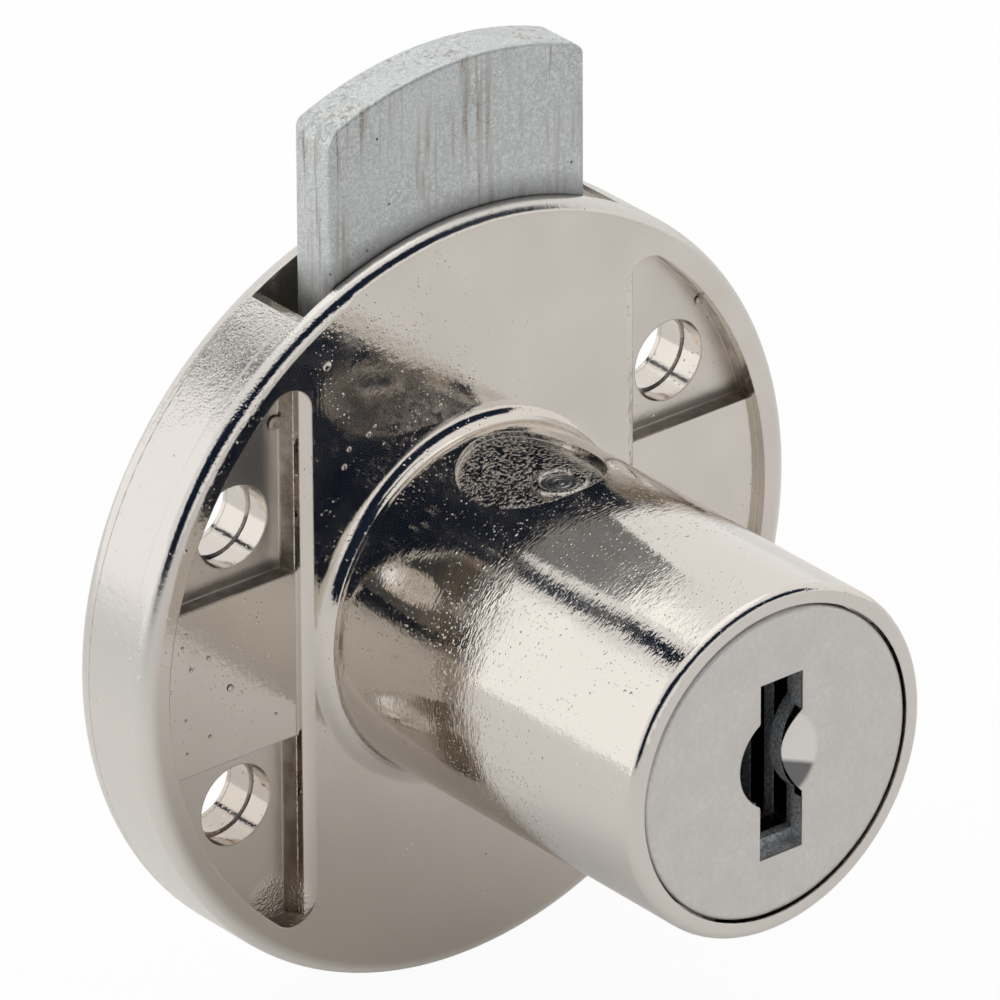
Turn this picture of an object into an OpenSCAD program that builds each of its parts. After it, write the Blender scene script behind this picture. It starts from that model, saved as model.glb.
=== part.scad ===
// Round drawer lock: a barrel with a wafer plug turns a drive cam, and its pin slides the bolt.
// Millimetres. +Z is the way the bolt is thrown, and the barrel points along -Y.
// The origin is on the barrel's axis, in the plane where the case meets the drawer front.
// The model stands as it is when locked with the key in: bolt out, keyway upright.

/* [Case] */
// Diameter of the round case
case_d = 40; // [39:0.5:60]
// Depth of the case without its cover
body_t = 4.3; // [4.2:0.1:8]
// Wall between the front of the case and the bolt
front_wall = 0.75; // [0.7:0.05:0.9]
// Rounding of the front edge of the rim
rim_front_r = 0.8; // [0.2:0.1:1.2]
// Half width of the slot in the rim where the bolt comes out
notch_half_w = 9.85; // [9.3:0.05:10.2]
// Height of that slot's floor above the barrel's axis
notch_z = 17.1; // [16.5:0.1:17.6]

/* [Cover] */
// Thickness of the cover plate
cover_t = 1.1; // [1.1:0.1:3]
// Rounding of the cover's outer edge
rim_back_r = 0.9; // [0.2:0.1:1]
// Gap between the bolt and the guide pad behind it
pad_gap = 0.2; // [0.1:0.05:0.4]
// How far the pad's top lies below the floor of the rim's slot
pad_drop = 2.5; // [1:0.1:4]
// Diameter of the rivets' shanks
rivet_d = 2; // [1.4:0.1:2.4]
// Diameter of the rivets' heads
rivet_head_d = 3.4; // [2.8:0.1:4]
// Thickness of the rivets' heads
rivet_head_t = 0.6; // [0.3:0.1:0.8]
// How deep the rivets go into the case
rivet_grip = 2.4; // [1:0.1:2.6]
// Distance of the rivets from the barrel's axis
rivet_x = 14.2; // [12.5:0.1:15.5]

/* [Barrel] */
// Outer diameter of the barrel
barrel_d = 18; // [16.5:0.1:18.6]
// Wall of the barrel
barrel_wall = 1.2; // [1.1:0.05:1.6]
// Length of the barrel in front of the case
barrel_len = 22.5; // [20:0.1:26]
// Rounding of the barrel's front edge
barrel_edge_r = 0.45; // [0.1:0.05:0.8]
// Rounding between the barrel and the case
root_r = 0.9; // [0.2:0.1:1.4]
// Distance from the retaining pin back to the spot face's centre
spot_back = 2.1; // [1.8:0.1:2.4]
// Diameter of the spot face, whose floor follows the barrel's curve
spot_d = 7.2; // [6.6:0.1:7.4]
// Depth of the spot face
spot_depth = 0.3; // [0.15:0.05:0.5]
// Turn of the spot face away from straight up
spot_angle = -2; // [-10:1:10]

/* [Recesses in the front of the case] */
// Distance from the axis to the straight wall of each recess
recess_x = 10.3; // [10.2:0.05:11]
// Width of the rim that is left outside each recess
recess_rim = 1.5; // [1.3:0.1:2]
// Depth of the pockets round the screw holes
pocket_depth = 1.4; // [1:0.1:2.6]
// Depth of the middle part of each recess
ledge_depth = 0.5; // [0.4:0.05:0.9]
// Half height of that middle part
ledge_half_h = 4.4; // [3:0.1:4.8]
// Radius of the recess's two tips
tip_r = 1.4; // [0.6:0.1:1.8]
// Width of the bevel beside the straight wall
bevel_w = 0.6; // [0.3:0.05:0.8]
// Drop of that bevel
bevel_drop = 0.25; // [0.05:0.01:0.35]
// Lean of the straight wall, in degrees
wall_lean = 18; // [0:1:30]

/* [Screw holes] */
// Spacing of the screw holes across the case
hole_dx = 27; // [26.6:0.1:27.6]
// Spacing of the screw holes up the case
hole_dz = 15; // [14.4:0.1:16]
// Diameter of the screw holes
hole_d = 4; // [3:0.1:4.2]
// How much wider the front half of each hole is
hole_step = 0.12; // [0.04:0.02:0.2]
// Diameter of the countersinks in the cover
sink_d = 6.6; // [5:0.1:7]
// Straight length of each hole in front of its countersink
sink_land = 0.26; // [0.1:0.02:0.5]

/* [Bolt] */
// Width of the bolt where it leaves the case
bolt_w = 15.6; // [14:0.1:16.4]
// Thickness of the bolt
bolt_t = 2.65; // [2.4:0.05:2.65]
// How far the bolt is thrown out of the case
throw = 8; // [6:0.1:8.1]
// Rounding of the bolt's two upper corners
bolt_corner_r = 1.2; // [0.5:0.1:2]
// Rounding of the bolt's long edges
bolt_edge_r = 0.22; // [0.05:0.01:0.4]
// Width of the bolt's guide shoulders inside the case
shoulder_w = 17.5; // [16.8:0.1:17.7]
// Height of the shoulders' top above the axis when thrown
shoulder_z = 8.5; // [7.2:0.1:9]
// Length of the bolt below the axis when thrown
bolt_tail = 8; // [7:0.1:8.2]
// Gap between the bolt's shoulders and its channel
slide_gap = 0.2; // [0.1:0.05:0.3]
// Gap between the bolt and the wall in front of it
bolt_gap = 0.1; // [0.06:0.02:0.2]

/* [Drive cam] */
// Diameter of the pin that moves the bolt
pin_d = 3; // [2.4:0.1:3.2]
// Gap between that pin and the bolt's slot
pin_gap = 0.3; // [0.24:0.02:0.4]
// How far the cam's rear flange stands out past the plug's radius
flange_w = 0.7; // [0.4:0.05:0.8]
// Depth of the flange's seat in front of the case's front plane
flange_seat = 0.4; // [0.2:0.05:0.6]
// Diameter of the cam's waist
waist_d = 9; // [7:0.1:12]
// Width of the tongue that turns the cam
tongue_w = 2.9; // [2:0.1:3.5]
// Length of the tongue across the plug
tongue_len = 12; // [8:0.1:12.6]
// Depth of the tongue in the plug
tongue_depth = 2; // [1:0.1:2.6]
// Thickness of the cam's two wide rings
ring_t = 1.4; // [0.8:0.05:1.6]
// Depth of the cover's groove that stops the pin at both ends of its turn
stop_depth = 0.8; // [0.4:0.05:0.9]
// Gap between the cam and what it lies against
cam_gap = 0.1; // [0.05:0.01:0.15]

/* [Plug] */
// Gap all round the plug
plug_gap = 0.1; // [0.04:0.01:0.1]
// How far the plug's head stands out past its radius
head_w = 0.3; // [0.1:0.05:0.35]
// Thickness of that head
head_t = 1; // [0.6:0.1:1.2]
// Rounding of the plug's front edge
plug_edge_r = 0.3; // [0.1:0.05:0.5]
// Diameter of the retaining pin
keep_d = 2; // [1.6:0.1:2.2]
// Distance from the last wafer to the retaining pin
keep_back = 3.7; // [3:0.05:3.9]
// Length of the plug behind the retaining pin
plug_tail = 1.7; // [1.4:0.1:2.5]
// Depth of the plug's groove for the retaining pin
keep_depth = 1; // [0.6:0.1:1.4]
// Gap between the retaining pin and the groove's sides
keep_gap = 0.05; // [0.02:0.01:0.1]
// How far the retaining pin stands out of its spot face
keep_out = 0.1; // [0.05:0.01:0.3]

/* [Keyway] */
// Left wall of the keyway
key_left = -1; // [-1.2:0.05:-0.8]
// Right wall of the keyway
key_right = 1.6; // [1.4:0.05:1.6]
// Bottom of the keyway
key_low = -4.9; // [-5:0.05:-4.6]
// Top of the keyway
key_high = 4.45; // [4.2:0.05:4.6]
// How far the keyway's right wall bows to the left in its middle
bow = 0.86; // [0.5:0.02:0.94]
// How much further its left wall bows
bow_more = 0.34; // [0:0.02:0.4]
// Half height of that bow
bow_half_h = 2.2; // [1.8:0.05:2.4]
// How far the bow's middle lies above the keyway's middle
bow_up = 0.4; // [0:0.05:0.6]
// Thickness of the wall that the bow is cut in
lip = 0.85; // [0.75:0.05:1.2]
// Diameter of the cone that leads the key in
cone_d = 5.4; // [4.4:0.1:5.6]
// Depth of that cone
cone_depth = 0.7; // [0.3:0.05:0.75]
// Place of the cone's centre to the right of the axis
cone_x = 0.2; // [-0.2:0.05:0.3]
// Height of the cone's centre above the axis
cone_z = 0.15; // [-0.2:0.05:0.3]
// Height of the block at the bottom of the way, behind the face
block_h = 0.55; // [0.2:0.05:0.8]
// Width of the shelf in the way's lower left corner
shelf_w = 0.45; // [0.2:0.05:0.6]
// Height of that shelf
shelf_h = 2.6; // [1.5:0.1:3]
// Room between the face's wall and the first wafer
lip_gap = 0.55; // [0.2:0.05:0.6]

/* [Wafers] */
// Thickness of a wafer
wafer_t = 0.9; // [0.7:0.05:0.95]
// Distance from one wafer to the next
wafer_pitch = 1.65; // [1.6:0.01:1.7]
// Width of a wafer
wafer_w = 9.6; // [9.4:0.1:10]
// Half height of a wafer's wide part
wafer_half_h = 5; // [4.9:0.05:5.1]
// Width of a wafer's two noses
nose_w = 5; // [4:0.1:5.6]
// How far a wafer's nose stays below the plug's surface when the key is in
nose_drop = 0.15; // [0.1:0.01:0.2]
// How far a wafer comes out when the key is drawn
wafer_out = 0.6; // [0.5:0.05:0.65]
// Depth of the barrel's two grooves for the noses
groove_depth = 0.5; // [0.45:0.05:0.6]
// Gap between a wafer and its slot, on each side
wafer_gap = 0.05; // [0.02:0.01:0.06]
// Step from one cut depth of the key to the next
cut_step = 0.3; // [0.2:0.05:0.35]
// Depth of a wafer's window below its middle where the key isn't cut
window_low = 3.1; // [2.8:0.05:3.3]
// Gap between a wafer's window and the keyway's walls
window_gap = 0.24; // [0.1:0.02:0.26]

/* [Wafer springs] */
// Outer diameter of a spring
spring_d = 1.3; // [1.1:0.05:1.4]
// Diameter of its wire
wire_d = 0.24; // [0.16:0.02:0.26]
// Number of turns
turns = 6; // [4:1:7]
// Distance of the springs from the middle of the wafers
spring_x = 3.35; // [3.3:0.05:3.4]
// Height of a spring's seat below the middle of its wafer
spring_low = 3.2; // [3:0.1:3.3]
// Height of the wafer's lug above its middle
spring_high = 1; // [0.5:0.1:1.4]

/* [Hidden] */
$fn = 96;

// Overlap of a cutting shape past the face it cuts
cut = 1;
// Small gap of parts that are pressed or laid together
seat = 0.02;
case_r = case_d / 2;
barrel_r = barrel_d / 2;
bore_r = barrel_r - barrel_wall;
plug_r = bore_r - plug_gap;
plug_d = 2 * plug_r;
flange_r = plug_r + flange_w;
recess_r = case_r - recess_rim;
case_back = body_t + cover_t;

// The bolt lies behind the front wall, and the pad on the cover lies behind the bolt
bolt_y = front_wall + bolt_gap;
pad_y = bolt_y + bolt_t + pad_gap;
channel_half_w = shoulder_w / 2 + slide_gap;
channel_low = -bolt_tail - throw - 2 * slide_gap;

// The cam turns a quarter, from its pin half a quarter above the level to as much below it
quarter = 90;
crank = throw / (2 * sin(quarter / 2));
pin_x = crank * cos(quarter / 2);
pin_z = throw / 2;
flange_y = front_wall - bolt_gap / 2;

// The plug starts flush with the barrel's end
plug_front = -barrel_len;

// Wafers, counted from the face; every second one works the other way up
wafer_count = 7;
wafer_slot_t = wafer_t + 2 * wafer_gap;
first_wafer_y = plug_front + lip + lip_gap + wafer_slot_t / 2;
// Depth of the key's cut at each wafer, in steps
cuts = [4, 3, 4, 2, 3, 1, 2];
nose_r = plug_r - nose_drop;
window_left = bow - key_left + window_gap;
window_right = key_right + window_gap;
window_high = -key_low - window_gap;
spring_hole_w = spring_d + 0.2;
chamber_d = spring_d + 0.3;
groove_r = bore_r + groove_depth;
head_r = plug_r + head_w;

// Circle of the bow in the keyway's right wall
bow_r = (bow * bow + bow_half_h * bow_half_h) / (2 * bow);
bow_z = (key_low + key_high) / 2 + bow_up;

function wafer_y(i) = first_wafer_y + i * wafer_pitch;

// The retaining pin stands behind the last wafer, and the cam fills the barrel behind the plug
keep_y = wafer_y(wafer_count - 1) + keep_back;
plug_back = keep_y + plug_tail;
cam_front = plug_back + cam_gap;

// Stands an outline drawn in X and Z upright, from y0 back to y1
module slab(y0, y1) {
    translate([0, y1, 0]) rotate([90, 0, 0]) linear_extrude(y1 - y0) children();
}

// Turns a profile drawn as radius and depth about the lock's axis
module turned() {
    rotate([-90, 0, 0]) rotate_extrude() children();
}

// Round bar along the lock's axis
module bar(r, y0, y1) {
    translate([0, y0, 0]) rotate([-90, 0, 0]) cylinder(h = y1 - y0, r = r);
}

// Waste outside a round of radius r in the corner c; sx and sy point into the material
module round_waste(c, r, sx, sy) {
    over = r / 4;
    translate(c) difference() {
        translate([sx > 0 ? -over : -r, sy > 0 ? -over : -r]) square(r + over);
        translate([sx * r, sy * r]) circle(r);
    }
}

// Waste in a tip where a straight edge x = line meets the circle of radius big, rounded by r
module tip_waste(big, line, r, side) {
    cx = line + side * r;
    cz = sqrt(pow(big - r, 2) - cx * cx);
    over = r / 3;
    reach = (big + over) / (big - r);
    difference() {
        polygon([[line - side * over, cz], [cx, cz], [cx * reach, cz * reach],
            [line - side * over, sqrt(big * big - line * line) + over]]);
        translate([cx, cz]) circle(r);
    }
}

// Outline of one recess: a slice of a circle with two rounded tips
module recess_outline(line, r) {
    difference() {
        intersection() {
            circle(recess_r);
            translate([line, -case_r]) square([case_r, case_d]);
        }
        tip_waste(recess_r, line, r, 1);
        mirror([0, 1]) tip_waste(recess_r, line, r, 1);
    }
}

// Waste of a recess of one depth, with the bevel and the leaning wall on its straight side
module recess_waste(depth) {
    deep = pocket_depth + cut;
    intersection() {
        slab(-cut, depth) recess_outline(recess_x - bevel_w, tip_r);
        translate([0, 0, -case_r]) linear_extrude(case_d)
            polygon([[recess_x - 2 * bevel_w, -2 * cut], [recess_x - 2 * bevel_w, -bevel_drop],
                [recess_x, bevel_drop], [recess_x + (deep - bevel_drop) * tan(wall_lean), deep],
                [case_r + cut, deep], [case_r + cut, -2 * cut]]);
    }
}

// Recess on the right: two pockets and the shallow middle between them
module recess() {
    recess_waste(ledge_depth);
    difference() {
        recess_waste(pocket_depth);
        translate([0, -2 * cut, -ledge_half_h]) cube([case_r, pocket_depth + 3 * cut, 2 * ledge_half_h]);
    }
}

module at_screws() {
    for (sx = [-1, 1], sz = [-1, 1])
        translate([sx * hole_dx / 2, 0, sz * hole_dz / 2]) children();
}

module at_rivets() {
    for (sx = [-1, 1])
        translate([sx * rivet_x, 0, 0]) children();
}

// Case disc and barrel in one profile, with the front edge of the rim and both ends of the barrel rounded
module case_profile() {
    difference() {
        union() {
            square([case_r, body_t]);
            translate([0, -barrel_len]) square([barrel_r, barrel_len + cut]);
            difference() {
                translate([barrel_r, -root_r]) square([root_r, root_r + front_wall]);
                translate([barrel_r + root_r, -root_r]) circle(root_r);
            }
        }
        round_waste([case_r, 0], rim_front_r, -1, 1);
        round_waste([barrel_r, -barrel_len], barrel_edge_r, -1, 1);
    }
}

// Room for the sliding bolt and its way out through the rim
module bolt_channel() {
    translate([-channel_half_w, front_wall, channel_low])
        cube([2 * channel_half_w, body_t - front_wall + cut, case_r - channel_low + cut]);
    translate([-notch_half_w, front_wall, notch_z])
        cube([2 * notch_half_w, body_t - front_wall + cut, case_r - notch_z + cut]);
}

// Grooves above and below the plug that catch the wafers' noses
module nose_grooves() {
    w = nose_w + 4 * wafer_gap;
    y0 = wafer_y(0) - wafer_slot_t;
    y1 = wafer_y(wafer_count - 1) + wafer_slot_t;
    intersection() {
        bar(groove_r, y0, y1);
        translate([-w / 2, y0, -barrel_r]) cube([w, y1 - y0, barrel_d]);
    }
}

module case_body() color("silver") difference() {
    turned() case_profile();
    bar(bore_r, -barrel_len - cut, front_wall + cut);
    bar(head_r + plug_gap, -barrel_len - cut, -barrel_len + head_t + plug_gap);
    bar(flange_r + plug_gap, -flange_seat, front_wall + cut);
    nose_grooves();
    bolt_channel();
    recess();
    mirror([1, 0, 0]) recess();
    at_screws() {
        bar(hole_d / 2, -cut, body_t + cut);
        bar(hole_d / 2 + hole_step, -cut, (pocket_depth + body_t) / 2);
    }
    at_rivets() bar(rivet_d / 2 + seat, body_t - rivet_grip, body_t + cut);
    rotate([0, spot_angle, 0]) {
        difference() {
            translate([0, keep_y + spot_back, 0]) cylinder(h = barrel_d, d = spot_d);
            bar(barrel_r - spot_depth, -barrel_len, 0);
        }
        translate([0, keep_y, 0]) cylinder(h = barrel_d, d = keep_d + 2 * seat);
    }
}

// Quarter ring that the end of the cam's pin runs in, and that stops it at both ends
module stop_groove() {
    w = pin_d + pin_gap;
    translate([0, pad_y + stop_depth, 0]) rotate([90, quarter / 2, 0])
        rotate_extrude(angle = quarter) translate([crank - w / 2, 0]) square([w, stop_depth + cut]);
    for (s = [-1, 1])
        rotate([0, s * quarter / 2, 0]) translate([crank, 0, 0]) bar(w / 2, pad_y - cut, pad_y + stop_depth);
}

module rear_cover() color("silver") difference() {
    union() {
        turned() difference() {
            translate([0, body_t]) square([case_r, cover_t]);
            round_waste([case_r, case_back], rim_back_r, -1, -1);
        }
        translate([-channel_half_w + slide_gap / 2, pad_y, channel_low + slide_gap / 2])
            cube([2 * channel_half_w - slide_gap, body_t - pad_y + cover_t / 2,
                notch_z - pad_drop - channel_low - slide_gap / 2]);
    }
    at_screws() {
        bar(hole_d / 2, body_t - cut, case_back + cut);
        translate([0, body_t + sink_land, 0]) rotate([-90, 0, 0])
            cylinder(h = cover_t - sink_land + seat, d1 = hole_d, d2 = sink_d);
    }
    at_rivets() {
        bar(rivet_d / 2 + seat, body_t - cut, case_back + cut);
        bar(rivet_head_d / 2 + seat, case_back - rivet_head_t - seat, case_back + cut);
    }
    stop_groove();
}

module cover_rivets() color("gainsboro") at_rivets() {
    bar(rivet_d / 2, body_t - rivet_grip + 5 * seat, case_back - seat);
    bar(rivet_head_d / 2, case_back - rivet_head_t, case_back - seat);
}

// Flat round plate of the bolt's thickness with both of its edges rounded
module bolt_disc(r) {
    turned() difference() {
        translate([0, bolt_y]) square([r, bolt_t]);
        round_waste([r, bolt_y], bolt_edge_r, -1, 1);
        round_waste([r, bolt_y + bolt_t], bolt_edge_r, -1, -1);
    }
}

// Flat bar of the bolt's thickness and the width w, with its four long edges rounded
module bolt_bar(w, z0, z1) {
    translate([0, 0, z0]) linear_extrude(z1 - z0) difference() {
        translate([-w / 2, bolt_y]) square([w, bolt_t]);
        for (s = [-1, 1]) {
            round_waste([s * w / 2, bolt_y], bolt_edge_r, -s, 1);
            round_waste([s * w / 2, bolt_y + bolt_t], bolt_edge_r, -s, -1);
        }
    }
}

// Head of the bolt: its top follows the case's rim, so that it lies flush when drawn back
module bolt_head() {
    corner_x = bolt_w / 2 - bolt_corner_r;
    corner_z = sqrt(pow(case_r - bolt_corner_r, 2) - corner_x * corner_x);
    translate([0, 0, throw]) {
        difference() {
            intersection() {
                bolt_disc(case_r);
                bolt_bar(bolt_w, -throw, case_r + cut);
            }
            for (m = [0, 1])
                mirror([m, 0, 0]) slab(bolt_y - cut, bolt_y + bolt_t + cut)
                    tip_waste(case_r, bolt_w / 2, bolt_corner_r, -1);
        }
        for (s = [-1, 1])
            translate([s * corner_x, 0, corner_z]) bolt_disc(bolt_corner_r);
    }
}

module bolt() color("lightslategray") difference() {
    union() {
        bolt_head();
        bolt_bar(shoulder_w, -bolt_tail, shoulder_z);
    }
    // Level slot for the cam's pin
    w = pin_d / 2 + pin_gap;
    translate([pin_x, 0, pin_z]) bar(w, 0, body_t);
    translate([crank, 0, pin_z]) bar(w, 0, body_t);
    translate([pin_x, 0, pin_z - w]) cube([crank - pin_x, body_t, 2 * w]);
}

// Round rib that bows the keyway's right wall
module rib_outline() {
    translate([key_right - bow + bow_r, bow_z]) circle(bow_r);
}

// Waved outline of the keyway in the plug's face
module keyway_outline() {
    left_bow = bow + bow_more;
    left_r = (left_bow * left_bow + bow_half_h * bow_half_h) / (2 * left_bow);
    difference() {
        union() {
            translate([key_left, key_low]) square([key_right - key_left, key_high - key_low]);
            intersection() {
                translate([key_left - left_bow + left_r, bow_z]) circle(left_r);
                translate([key_left - left_bow - cut, key_low]) square([left_bow + 2 * cut, key_high - key_low]);
            }
        }
        rib_outline();
    }
}

module keyway() {
    slab(plug_front - cut, plug_front + lip + seat) keyway_outline();
    // Behind the face the way is a plain slot, with the rib and a shelf in its lower left corner
    difference() {
        translate([-window_left, plug_front + lip, key_low])
            cube([window_left + window_right, wafer_y(wafer_count - 1) - plug_front - lip + wafer_slot_t,
                key_high - key_low]);
        translate([-window_left - cut, plug_front, key_low - cut])
            cube([window_left + key_left + shelf_w + cut, lip + lip_gap, shelf_h + cut]);
        translate([-window_left, plug_front, key_low - cut])
            cube([2 * window_left + window_right, lip + lip_gap, block_h + cut]);
        slab(plug_front, plug_front + lip + lip_gap) rib_outline();
    }
    translate([cone_x, plug_front - seat, cone_z]) rotate([-90, 0, 0])
        cylinder(h = cone_depth, d1 = cone_d, d2 = 0);
}

// Turns what works the other way up over, for every second wafer
module flipped(i) {
    rotate([0, 180 * (i % 2), 0]) children();
}

// Slot of one wafer, open at the end where the wafer goes in
module wafer_slot(i) {
    w = wafer_w + 4 * wafer_gap;
    nw = nose_w + 4 * wafer_gap;
    y0 = wafer_y(i) - wafer_slot_t / 2;
    flipped(i) {
        translate([-w / 2, y0, -wafer_half_h - 2 * wafer_gap])
            cube([w, wafer_slot_t, wafer_half_h + plug_d]);
        translate([-nw / 2, y0, -plug_d]) cube([nw, wafer_slot_t, plug_d]);
        translate([-spring_x, wafer_y(i), -spring_low]) cylinder(h = plug_d, d = chamber_d);
    }
}

module plug() color("lightgray") difference() {
    turned() difference() {
        union() {
            translate([0, plug_front]) square([plug_r, plug_back - plug_front]);
            translate([0, plug_front]) square([head_r, head_t]);
        }
        round_waste([head_r, plug_front], plug_edge_r, -1, 1);
        translate([plug_r - keep_depth, keep_y - keep_d / 2 - keep_gap])
            square([keep_depth + cut, keep_d + 2 * keep_gap]);
    }
    keyway();
    for (i = [0:wafer_count - 1]) wafer_slot(i);
    // Slot across the back for the cam's tongue
    translate([-tongue_w / 2 - cam_gap, plug_back - tongue_depth - cam_gap, -plug_r - cut])
        cube([tongue_w + 2 * cam_gap, tongue_depth + cam_gap + cut, plug_d + 2 * cut]);
}

module drive_cam() color("darkgray") {
    bar(plug_r, cam_front, cam_front + ring_t);
    bar(waist_d / 2, cam_front, flange_y);
    bar(plug_r, -flange_seat - ring_t / 2, flange_y);
    bar(flange_r, -flange_seat + cam_gap, flange_y);
    intersection() {
        translate([-tongue_w / 2, plug_back - tongue_depth, -tongue_len / 2])
            cube([tongue_w, cam_front + ring_t - plug_back + tongue_depth, tongue_len]);
        bar(plug_r - keep_depth - cam_gap, plug_back - tongue_depth - cut, flange_y);
    }
    translate([pin_x, 0, pin_z]) bar(pin_d / 2, 0, pad_y + stop_depth - cam_gap);
}

module retaining_pin() color("gainsboro") {
    low = plug_r - keep_depth + 2 * plug_gap;
    high = barrel_r - spot_depth + keep_out;
    rotate([0, spot_angle, 0]) translate([0, keep_y, low]) cylinder(h = high - low, d = keep_d);
}

// Wafer number i: a plate with a window for the key and a hole for its spring
module wafer(i) color("goldenrod") flipped(i) {
    y0 = wafer_y(i) - wafer_t / 2;
    // An upturned wafer shows its window to the other side of the key
    turn = i % 2;
    low = window_low + cut_step * cuts[i];
    left = turn == 0 ? window_left : window_right;
    right = turn == 0 ? window_right : window_left;
    slab(y0, y0 + wafer_t) difference() {
        intersection() {
            union() {
                translate([-wafer_w / 2, -wafer_half_h]) square([wafer_w, 2 * wafer_half_h]);
                translate([-nose_w / 2, -plug_r]) square([nose_w, plug_d]);
            }
            circle(nose_r);
        }
        translate([-left, -low]) square([left + right, low + window_high]);
        translate([-spring_x - spring_hole_w / 2, -spring_low - wafer_out - wafer_gap])
            square([spring_hole_w, spring_low + wafer_out + wafer_gap + spring_high]);
    }
}

// Coil spring of wafer number i: a wire swept along a helix whose end turns lie close
module wafer_spring(i) {
    sides = 6;
    steps = 12;
    wire_gap = 0.01;
    n = turns * steps;
    coil_r = (spring_d - wire_d) / 2;
    z0 = -spring_low + wire_d / 2 + seat;
    z1 = spring_high - wire_d / 2 - seat;
    // An end turn rises by hardly more than the wire's diameter
    end_rise = wire_d + 2 * wire_gap;
    mid_rise = (z1 - z0 - 2 * end_rise) / (turns - 2);
    function rise(t) = t < 1 ? t * end_rise
        : t > turns - 1 ? z1 - z0 - (turns - t) * end_rise
        : end_rise + (t - 1) * mid_rise;
    points = [for (k = [0:n], s = [0:sides - 1])
        let (a = 360 * k / steps, b = 360 * s / sides, r = coil_r + wire_d / 2 * cos(b))
        [r * cos(a), r * sin(a), z0 + rise(k / steps) + wire_d / 2 * sin(b)]];
    walls = [for (k = [0:n - 1], s = [0:sides - 1])
        let (a = k * sides + s, b = k * sides + (s + 1) % sides)
        [a, b, b + sides, a + sides]];
    ends = [[for (s = [sides - 1:-1:0]) s], [for (s = [0:sides - 1]) n * sides + s]];
    color("lightgray") flipped(i) translate([-spring_x, wafer_y(i), 0])
        polyhedron(points, concat(walls, ends), convexity = 8);
}

case_body();
rear_cover();
cover_rivets();
bolt();
plug();
drive_cam();
retaining_pin();
wafer(0);  // wafer_1
wafer(1);  // wafer_2
wafer(2);  // wafer_3
wafer(3);  // wafer_4
wafer(4);  // wafer_5
wafer(5);  // wafer_6
wafer(6);  // wafer_7
wafer_spring(0);  // wafer_spring_1
wafer_spring(1);  // wafer_spring_2
wafer_spring(2);  // wafer_spring_3
wafer_spring(3);  // wafer_spring_4
wafer_spring(4);  // wafer_spring_5
wafer_spring(5);  // wafer_spring_6
wafer_spring(6);  // wafer_spring_7
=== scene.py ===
"""Round drawer lock: the finishes of its metals, the marks of casting, and the studio."""

import math

import bpy
from bpy.props import FloatProperty, FloatVectorProperty, PointerProperty
from bpy.types import Operator, Panel, PropertyGroup
from mathutils import Matrix, Vector


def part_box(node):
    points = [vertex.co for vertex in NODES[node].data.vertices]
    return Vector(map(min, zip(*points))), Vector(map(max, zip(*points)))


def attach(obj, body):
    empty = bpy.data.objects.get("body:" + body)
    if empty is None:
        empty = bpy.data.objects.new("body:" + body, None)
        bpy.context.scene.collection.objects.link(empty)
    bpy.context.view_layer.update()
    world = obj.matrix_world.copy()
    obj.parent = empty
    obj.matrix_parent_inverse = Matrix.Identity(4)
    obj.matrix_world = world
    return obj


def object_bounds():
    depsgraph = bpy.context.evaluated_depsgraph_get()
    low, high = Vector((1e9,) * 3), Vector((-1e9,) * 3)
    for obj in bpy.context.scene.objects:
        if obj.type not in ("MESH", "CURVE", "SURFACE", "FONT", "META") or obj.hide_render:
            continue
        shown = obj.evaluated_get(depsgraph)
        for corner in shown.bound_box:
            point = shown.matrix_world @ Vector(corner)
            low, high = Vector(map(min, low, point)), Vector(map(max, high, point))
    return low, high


bl_info = {
    "name": "Round drawer lock",
    "version": (1, 0, 0),
    "blender": (4, 5, 0),
    "location": "View3D > Sidebar > Drawer lock",
    "description": "Finishes, casting marks and studio of a round drawer lock",
    "category": "Object",
}

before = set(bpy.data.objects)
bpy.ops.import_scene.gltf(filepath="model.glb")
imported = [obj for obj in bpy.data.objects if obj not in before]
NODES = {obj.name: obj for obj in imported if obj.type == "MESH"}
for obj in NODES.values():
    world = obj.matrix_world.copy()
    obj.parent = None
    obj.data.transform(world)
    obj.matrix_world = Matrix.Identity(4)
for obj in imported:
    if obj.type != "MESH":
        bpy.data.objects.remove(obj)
CAD_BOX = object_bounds()
MM = 0.001

# Middles of the spot face, of the retaining pin, of the keyway's dish and of two rough places
SPOT = (-0.3 * MM, -4.9 * MM, 8.7 * MM)
PIN = (-0.3 * MM, -7 * MM, 8.7 * MM)
DISH = (0.15 * MM, CAD_BOX[0].y, 0)
LOW_PATCH = (-6 * MM, 0, -11.2 * MM)
LOW_TIP = (-11.2 * MM, 0.9 * MM, -13.4 * MM)

# Place of a screw hole, and radii of the spot face and the dish
SCREW = (13.5 * MM, 0, 7.5 * MM)
SPOT_RADIUS = 3.6 * MM
DISH_RADIUS = 2.75 * MM

# Ways to the slot in the rim, to the low left side, and out of the shaded part of the dish
SLOT_WAY = (-0.61, 0.1, 0.79)
LOW_LEFT_WAY = (-0.6, 0, -0.8)
DISH_WAY = (0.31, 0, 0.95)

# Tones of the nickel where it isn't its plain colour, some of them painted shade and painted light
LOW_LEFT_SHADE_NICKEL = (0.5, 0.44, 0.38)
UPPER_RIM_SHADE = (0.65, 0.62, 0.58)
LOWER_RIM_LIGHT = (0.73, 0.695, 0.64)
BARREL_NICKEL = (0.69, 0.65, 0.6)
WALL_SHADE = (0.33, 0.28, 0.23)
SPOT_NICKEL = (0.3, 0.275, 0.25)
NICKEL_SPECK = (0.2, 0.14, 0.11)
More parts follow.
